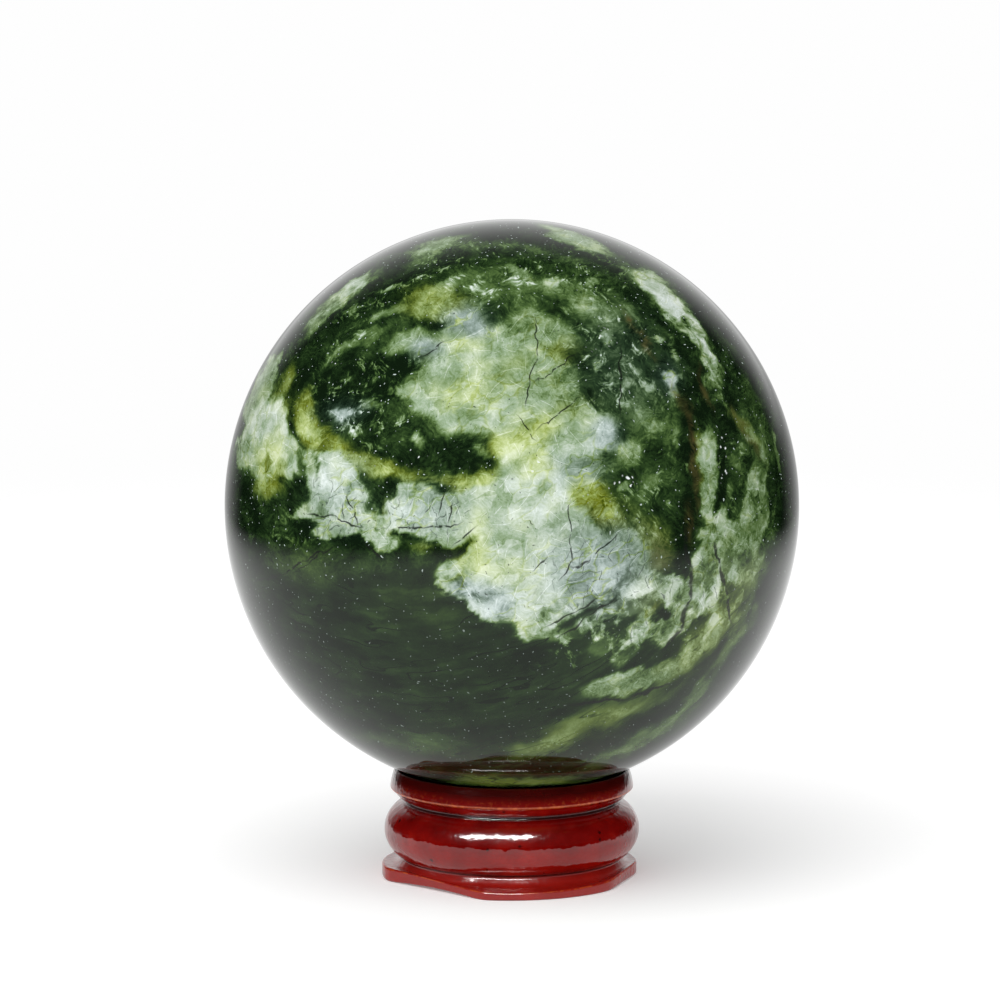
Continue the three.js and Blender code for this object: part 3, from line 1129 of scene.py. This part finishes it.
def stone_pattern(tree, geometry, middle):
    """Keeps the broad areas of the stone on the ball's points: how pale, yellow, blue or broken each is."""
    place = tree.vector("SUBTRACT", tree.node("GeometryNodeInputPosition"), middle)
    turned = tree.node(
        "ShaderNodeVectorRotate",
        {"rotation_type": "EULER_XYZ", "invert": True},
        {"Vector": place, "Rotation": FACE_TURN},
    )
    face = tree.vector("DIVIDE", turned, (MM, MM, MM))
    warped = tree.vector("ADD", face, spread_of(tree, face, *SWIRL))
    _, up, towards = tree.split(warped)
    soft, soft_cover, soft_near = covered(tree, warped, SOFT_PALE, SOFT_COVER)
    firm, firm_cover, firm_near = covered(tree, warped, FIRM_PALE, FIRM_COVER)
    bare = (1 - soft_cover) * (1 - firm_cover)
    halo = tree.larger(soft_near, firm_near) * GREEN_HALO
    olive = tree.field("olive", warped, added, OLIVE, OLIVE_BORDER) * bare
    green = tree.larger(tree.field("mid_green", warped, added, MID_GREEN, GREEN_BORDER), halo) * bare
    gaps = tree.clamped(tree.field("dark_gaps", warped, added, DARK_GAPS, GAP_BORDER))
    pale = soft * soft_cover * (1 - firm_cover) + firm * firm_cover
    pale = (pale + olive + green) * (1 - gaps)
    yellow = tree.field("yellow", warped, added, YELLOW_TINT, AREA_BORDER) + olive * OLIVE_YELLOW
    blue, frost, shattered, edge_run, brown, glints, cracked = (
        tree.clamped(tree.field("texture", warped, added, rows, AREA_BORDER))
        for rows in (BLUE_TINT, FROST, SHATTERED, ALONG_EDGE, BROWN, GLINTS, FINE_CRACKS)
    )
    lower = tree.step(up, *LOWER_STARTS)
    behind = tree.step(towards, *BACK_STARTS)
    clouds = tree.step(tree.noise(warped, *BACK_CLOUDS), *BACK_CLOUD_COVER)
    pale = pale + behind * (clouds * (1 - lower * BACK_LOWER_FADE) * BACK_CLOUD_PALE + BACK_GREEN)
    lead, other_lead, _ = tree.split(tree.noise(face, *LEADS, "Color"))
    leads = (tree.step(lead, *LEAD_COVER), tree.step(other_lead, *LEAD_COVER))
    for name, values in (
        ("stone_tone", (pale, tree.clamped(yellow), blue)),
        ("stone_texture", (frost, shattered, edge_run)),
        ("stone_marks", (glints, cracked, lower)),
        ("stone_mottle", (tree.waves(face, *MOTTLE), *leads)),
        ("stone_stain", (brown, 0.0, 0.0)),
        ("stone_drift", tree.split(spread_of(tree, face, *DRIFT))),
    ):
        geometry = named(tree, geometry, name, values)
    return geometry


def make_ball(material):
    inputs = {
        "Radius": ("NodeSocketFloat", BALL_RADIUS),
        "Rows": ("NodeSocketInt", BALL_ROWS),
        "Middle": ("NodeSocketVector", BALL_MIDDLE),
        "Wave Height": ("NodeSocketFloat", POLISH_WAVE),
        "Wave Size": ("NodeSocketFloat", POLISH_WAVE_SIZE),
        "Finish": ("NodeSocketMaterial", material),
    }
    group, tree, wires = new_group("hand_polished_ball", inputs)
    rows = {"Vertices " + axis: wires["Rows"] for axis in "XYZ"}
    cube = tree.node("GeometryNodeMeshCube", None, {"Size": (2.0, 2.0, 2.0), **rows})
    spread = tree.vector("TANGENT", tree.scaled(tree.node("GeometryNodeInputPosition"), math.pi / 4))
    outward = tree.vector("NORMALIZE", spread)
    wave = tree.waves(outward, wires["Radius"] / wires["Wave Size"], 1.0, 0.5) * wires["Wave Height"]
    place = tree.vector("ADD", tree.scaled(outward, wires["Radius"] + wave), wires["Middle"])
    round_ball = tree.node("GeometryNodeSetPosition", None, {"Geometry": cube, "Position": place})
    patterned = stone_pattern(tree, round_ball, wires["Middle"])
    finish_group(tree, patterned, wires["Finish"])
    return made_by("ball", bpy.data.meshes.new("ball_start"), group, inputs)


# Ring stand

def arc(radius, height, size, start, end, steps):
    """Points of a section along an arc, from one angle to another in degrees."""
    points = []
    for step in range(steps + 1):
        angle = math.radians(start + (end - start) * step / steps)
        points.append((radius + size * math.cos(angle), height + size * math.sin(angle)))
    return points


def flare(start, end, steps, steepness):
    """Points of a section that falls steeply at first and then runs out flat."""
    points = []
    for step in range(steps + 1):
        share = step / steps
        drop = 1 - (1 - share) ** steepness
        points.append((start[0] + (end[0] - start[0]) * share, start[1] + (end[1] - start[1]) * drop))
    return points


def straight(start, end, steps, bulge=0.0):
    """Points of a section up to but not at its end, swollen outwards in the middle by the bulge."""
    points = []
    for step in range(steps):
        share = step / steps
        radius = start[0] + (end[0] - start[0]) * share
        height = start[1] + (end[1] - start[1]) * share
        points.append((radius + 4 * bulge * share * (1 - share), height))
    return points


def stand_section():
    """The ring's section, from the top of the lip outwards and down, then back up inside. Closed."""
    lip_steps = STEPS["lip"]
    points = arc(LIP_TOP_RADIUS - LIP_ROUND, LIP_TOP - LIP_ROUND, LIP_ROUND, *LIP_CREST, lip_steps)
    points += straight(points[-1], (LIP_RADIUS, LIP_BOTTOM), lip_steps, LIP_BULGE)[1:]
    points += arc(LIP_RADIUS - LIP_ROUND, LIP_BOTTOM, LIP_ROUND, *LIP_ROLL, lip_steps)
    under = (points[-1][0] - LIP_ROUND, LIP_BOTTOM - LIP_DROP)
    points += flare(under, (UPPER_NECK_RADIUS, UPPER_NECK), lip_steps, LIP_FLARE)
    points += arc(*UPPER_HOLLOW)
    upper = math.degrees(math.asin((BEAD_UPPER_END - BEAD_HEIGHT) / BEAD_SECTION))
    lower = math.degrees(math.asin((BEAD_LOWER_END - BEAD_HEIGHT) / BEAD_SECTION))
    points += arc(BEAD_RADIUS - BEAD_SECTION, BEAD_HEIGHT, BEAD_SECTION, upper, lower, STEPS["bead"])
    points += arc(*LOWER_HOLLOW)
    flare_start = (points[-1][0] + HOLLOW_GAP, points[-1][1] - HOLLOW_GAP)
    rim = FOOT_RADIUS - FOOT_ROUND
    points += flare(flare_start, (rim, FOOT_EDGE), STEPS["flare"], FOOT_FLARE)
    points += arc(rim, FOOT_EDGE - FOOT_ROUND, FOOT_ROUND, *FOOT_CREST, STEPS["round"])
    points += straight((FOOT_RADIUS, FOOT_EDGE - FOOT_ROUND), (FOOT_RADIUS, FOOT_ROUND), STEPS["edge"])[1:]
    points += arc(rim, FOOT_ROUND, FOOT_ROUND, *FOOT_TOE, STEPS["round"])
    points += straight((rim, 0.0), (ARCH_INNER_RADIUS, 0.0), STEPS["arch"])[1:]
    points += straight((ARCH_INNER_RADIUS, 0.0), (BORE_RADIUS, 0.0), STEPS["base"])
    bore_top = (BORE_RADIUS, SEAT_INNER_HEIGHT - SEAT_LEAD)
    seat_top = (SEAT_OUTER_RADIUS, LIP_TOP)
    points += straight((BORE_RADIUS, 0.0), bore_top, STEPS["bore"])
    points.append(bore_top)
    points += straight((SEAT_INNER_RADIUS, SEAT_INNER_HEIGHT), seat_top, STEPS["seat"])
    points.append(seat_top)
    return points


def section_mesh(points):
    mesh = bpy.data.meshes.new("stand_section")
    mesh.from_pydata([(radius, 0.0, height) for radius, height in points], [], [])
    return mesh


def foot_edge_radius(tree, angle):
    """How far the foot's edge lies from the axis: a round edge with flats blended in."""
    round_edge = FOOT_RADIUS + tree.math("COSINE", angle) * FOOT_FRONT
    round_edge = round_edge + tree.math("SINE", angle) * FOOT_RIGHT
    near = tree.math("EXPONENT", round_edge / -FLAT_BLEND)
    for turn, distance in FOOT_FLATS:
        facing = tree.larger(tree.math("COSINE", angle - math.radians(turn)), FLAT_LEAST_FACING)
        near = near + tree.math("EXPONENT", distance / facing / -FLAT_BLEND)
    return tree.math("LOGARITHM", near, math.e) * -FLAT_BLEND


def carved_foot(tree, radius, height, angle):
    """Radius and height with the foot's flats, uneven edge and arches cut, and the share of the way out."""
    low = tree.math("LESS_THAN", height, FOOT_ROUND / 2)
    root = LOWER_NECK_RADIUS + low * (ARCH_INNER_RADIUS - LOWER_NECK_RADIUS)
    in_foot = tree.math("LESS_THAN", height, LOWER_NECK + NECK_MARGIN)
    outward = tree.larger((radius - root) / (FOOT_RADIUS - root), 0.0) * in_foot
    edge_radius = foot_edge_radius(tree, angle)
    deepest = FOOT_RADIUS - min(distance for _, distance in FOOT_FLATS)
    cut = tree.larger(FOOT_RADIUS - edge_radius, 0.0) / deepest
    carved = tree.math("GREATER_THAN", outward, 0.0)
    carved_radius = radius + carved * (root + outward * (edge_radius - root) - radius)
    thickness = FOOT_EDGE - tree.math("COSINE", (angle - FOOT_EDGE_TURN) * 2) * FOOT_EDGE_SWING
    lift = cut * outward * tree.larger(1 - height / FOOT_EDGE, 0.0) * ARCH_RISE
    carved_height = height * (1 + outward * (thickness / FOOT_EDGE - 1)) + lift
    return carved_radius, carved_height, outward


def make_stand(material):
    points = stand_section()
    inputs = {
        "Turns": ("NodeSocketInt", STAND_TURNS),
        "Section Points": ("NodeSocketInt", len(points)),
        "Relief": ("NodeSocketFloat", LACQUER_RELIEF),
        "Finish": ("NodeSocketMaterial", material),
    }
    group, tree, wires = new_group("turned_ring_stand", inputs)
    rows = wires["Turns"] + 1
    columns = wires["Section Points"] + 1
    grid = tree.node("GeometryNodeMeshGrid", None, {"Vertices X": columns, "Vertices Y": rows})
    index = tree.node("GeometryNodeInputIndex")
    column = tree.math("FLOOR", (index + 0.5) / rows)
    angle = (index - column * rows) * (2 * math.pi) / wires["Turns"]
    wrapped = tree.math("MODULO", column, wires["Section Points"])
    spot = tree.node("GeometryNodeInputPosition")
    section_point = tree.node(
        "GeometryNodeSampleIndex",
        {"data_type": "FLOAT_VECTOR", "domain": "POINT"},
        {"Geometry": wires["Geometry"], "Value": spot, "Index": wrapped},
    )
    radius, _, height = tree.split(section_point)
    carved_radius, carved_height, outward = carved_foot(tree, radius, height, angle)
    right = carved_radius * tree.math("SINE", angle)
    front = carved_radius * tree.math("COSINE", angle)
    place = tree.joined(right, -front, carved_height)
    turned = tree.node("GeometryNodeSetPosition", None, {"Geometry": grid, "Position": place})
    top = tree.step(height, FOOT_EDGE - FOOT_ROUND, FOOT_EDGE - FOOT_ROUND / 3)
    crest = tree.step(outward, *WORN_CREST) * top
    edged = named(tree, turned, "stand_edges", (crest, 0.0, 0.0))
    merging = {"Geometry": edged, "Distance": MERGE_DISTANCE}
    closed = tree.node("GeometryNodeMergeByDistance", None, merging)

    # Brushed lacquer stands a little uneven
    relief = tree.waves(spot, *RELIEF_NOISE) * wires["Relief"]
    above_floor = tree.step(tree.split(spot)[2], *RELIEF_STARTS)
    swell = tree.scaled(tree.node("GeometryNodeInputNormal"), relief * above_floor)
    uneven = tree.node("GeometryNodeSetPosition", None, {"Geometry": closed, "Offset": swell})
    finish_group(tree, uneven, wires["Finish"])
    return made_by("stand", section_mesh(points), group, inputs)


def band(tree, height, top, bottom):
    """1 between two soft edges."""
    return tree.step(height, *top) * tree.step(height, *bottom)


def lacquer_material():
    material, tree = new_material("red_lacquer")
    here = tree.node("ShaderNodeTexCoord", output="Object")
    place = tree.vector("DIVIDE", here, (MM, MM, MM))
    _, _, height = tree.split(place)
    foot_edge, _, _ = kept(tree, "stand_edges")
    brushed = tree.noise(place, *BRUSHED)
    colour = tree.ramp(brushed, LACQUER_STOPS)

    # Painted shade: the lip darkens towards its top, where the ball shades it, and the grooves darken
    lip = tree.step(height + (brushed - 0.5) * LIP_SHADE_UNEVEN, *LIP_SHADE_HEIGHTS)
    colour = tree.mix(lip * PAINTED_SHADE_SHARE, colour, LIP_SHADE_RED)
    groove_shade = 0.0
    for groove, half in GROOVES:
        groove_shade = groove_shade + tree.step(abs(height - groove), half, half * GROOVE_CORE)
    colour = tree.mix(tree.clamped(groove_shade) * PAINTED_SHADE_SHARE, colour, GROOVE_SHADE_AND_PIT_RED)

    # Painted light: the bead's underside is brighter where it mirrors the white floor, and the foot's top is
    # brighter where it faces up
    painted_light = band(tree, height, *BEAD_UNDERSIDE) * BEAD_PAINTED_LIGHT + tree.step(height, *FOOT_TOP) * FOOT_PAINTED_LIGHT
    colour = tree.mix(painted_light, colour, PAINTED_LIGHT_RED)

    # Lacquer worn thin in flecks along the lip's lower edge and the foot's edge; the unbroken part of the
    # orange line on the lip's lower edge is a painted highlight
    flecks = tree.step(tree.noise(place, *FLECKS), *FLECK_COVER)
    lip_edge = tree.step(abs(height - LIP_EDGE), *LIP_EDGE_WIDTH)
    lip_flecks = tree.step(tree.noise(place, *LIP_FLECKS), *LIP_FLECK_COVER)
    lip_flecks = lip_flecks * band(tree, height, *LIP_FLECK_BAND)
    wear_and_highlight = lip_edge * (flecks * LIP_EDGE_FLECKED + (1 - LIP_EDGE_FLECKED)) + foot_edge * flecks
    wear_and_highlight = (wear_and_highlight + lip_flecks * LIP_FLECK_SHARE) * WEAR_AND_HIGHLIGHT_SHARE
    colour = tree.mix(tree.clamped(wear_and_highlight), colour, WEAR_AND_HIGHLIGHT_ORANGE)
    colour = tree.mix(dots(tree, place, *PITS) * PIT_SHARE, colour, GROOVE_SHADE_AND_PIT_RED)

    dull = 1 - band(tree, height, *GLOSSIEST_BAND)
    rough = tree.noise(place, *ROUGH_NOISE) * ROUGH_UNEVEN + ROUGH_LEAST
    rough = rough + dull * ROUGH_DULL + tree.step(height, *FOOT_DULL) * ROUGH_FOOT
    ripple = {"Strength": RIPPLE_STRENGTH, "Distance": RIPPLE_HEIGHT, "Height": tree.noise(place, *RIPPLE)}
    bump = tree.node("ShaderNodeBump", None, ripple)
    finish = {"Base Color": colour, "Roughness": rough, "IOR": LACQUER_IOR, "Normal": bump}
    glossy = tree.node("ShaderNodeBsdfPrincipled", None, finish)

    # Painted shade: a dark matt colour in the seat and the bore, where the ball shades the ring
    reach = tree.length(flat(tree, place))
    seat = tree.step(reach, *SEAT_RIM) * tree.step(height, *SEAT_FLOOR) + tree.step(reach, *BORE_WALL)
    bare = tree.node("ShaderNodeBsdfDiffuse", None, {"Color": SEAT_PAINTED_SHADE})
    surface = tree.node("ShaderNodeMixShader", None, {0: seat, 1: glossy, 2: bare})
    tree.node("ShaderNodeOutputMaterial", None, {"Surface": surface})
    return material


# Floor, light and camera

def make_floor():
    mesh = bpy.data.meshes.new("floor")
    ring = []
    for side in range(FLOOR_SIDES):
        angle = 2 * math.pi * side / FLOOR_SIDES
        ring.append((FLOOR_RADIUS * math.cos(angle), FLOOR_RADIUS * math.sin(angle), 0.0))
    mesh.from_pydata(ring, [], [range(FLOOR_SIDES)])
    floor = new_object("floor", mesh)
    material, tree = new_material("pale_floor")
    here = tree.node("ShaderNodeTexCoord", output="Object")
    reach = tree.vector("MULTIPLY", here, (1 / TABLE_SIDE, 1 / TABLE_FRONT, 0.0))
    fade = tree.step(tree.length(reach), *TABLE_EDGE)
    matt = tree.node("ShaderNodeBsdfDiffuse", None, {"Color": FLOOR_WHITE})
    glow = tree.node("ShaderNodeEmission", None, {"Strength": FLOOR_GLOW})
    white = tree.node("ShaderNodeAddShader", None, {0: matt, 1: glow})
    clear = tree.node("ShaderNodeBsdfTransparent")
    surface = tree.node("ShaderNodeMixShader", None, {0: fade, 1: white, 2: clear})
    tree.node("ShaderNodeOutputMaterial", None, {"Surface": surface})
    mesh.materials.append(material)


def make_world():
    """An even dome lights the scene. Polished faces mirror a white backdrop and a dark room in front."""
    world = bpy.data.worlds.new("studio")
    world.use_nodes = True
    world.cycles.sampling_method = "NONE"
    tree = Tree(world.node_tree)
    direction = tree.node("ShaderNodeTexCoord", output="Generated")
    across, back, height = tree.split(direction)
    back = tree.larger(back, 0.001)
    sideways = tree.step(abs(across) / back, *BACKDROP_SIDES)
    upwards = tree.step(height / back, *BACKDROP_TOP)
    mirrored = sideways * upwards * tree.step(height, *BACKDROP_FOOT) * BACKDROP_MIRRORED
    seen = tree.node("ShaderNodeLightPath", output="Is Camera Ray")
    unseen = 1 - seen
    glossy = seen.out("Is Glossy Ray") * unseen
    facing = tree.vector("DOT_PRODUCT", direction, DOME_FACING, output="Value")
    dome = (facing * DOME_LEAN + 1) * DOME_LIGHT
    strength = seen * BACKDROP_WHITE + unseen * ((1 - glossy) * dome + glossy * mirrored)
    light = tree.node("ShaderNodeBackground", None, {"Color": WHITE, "Strength": strength})
    tree.node("ShaderNodeOutputWorld", None, {"Surface": light})
    bpy.context.scene.world = world


def area_light(name, place, target, size, energy):
    data = bpy.data.lights.new(name, "AREA")
    data.shape = "RECTANGLE"
    data.size, data.size_y = size
    data.energy = energy
    light = new_object(name, data)
    light.location = place
    light.rotation_euler = (Vector(target) - Vector(place)).to_track_quat("-Z", "Y").to_euler()
    return light


def make_lights(stand, ball):
    key = area_light("key", KEY_PLACE, BALL_MIDDLE, KEY_SIZE, KEY_POWER)
    key.visible_glossy = False

    # A long strip over the front that only the lacquer mirrors
    strip = area_light("strip", STRIP_PLACE, STRIP_TARGET, STRIP_SIZE, STRIP_POWER)
    strip.visible_diffuse = False
    strip.data.cycles.use_multiple_importance_sampling = False
    lacquered = bpy.data.collections.new("lacquered")
    lacquered.objects.link(stand)
    strip.light_linking.receiver_collection = lacquered
    shading = bpy.data.collections.new("shading")
    shading.objects.link(ball)
    strip.light_linking.blocker_collection = shading


def make_camera():
    data = bpy.data.cameras.new("camera")
    data.lens = CAMERA_LENS
    data.sensor_width = CAMERA_SENSOR
    data.clip_start, data.clip_end = CAMERA_CLIP
    camera = new_object("camera", data)
    aim = BALL_MIDDLE + RIGHT * AIM_RIGHT + UP * AIM_UP
    camera.location = aim + TOWARDS * CAMERA_DISTANCE
    camera.rotation_euler = Euler(FACE_TURN)
    bpy.context.scene.camera = camera


make_camera()
make_world()
make_floor()
ball = make_ball(stone_material())
stand = make_stand(lacquer_material())
make_lights(stand, ball)

for piece, node, finish in ((ball, "stone_ball", "polished_stone"), (stand, "ring_stand", "red_lacquer")):
    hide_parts(node)
    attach(piece, "root")

bpy.context.scene.view_settings.view_transform = "Standard"
bpy.context.scene.cycles.max_bounces = 3
bpy.context.scene.cycles.diffuse_bounces = 2
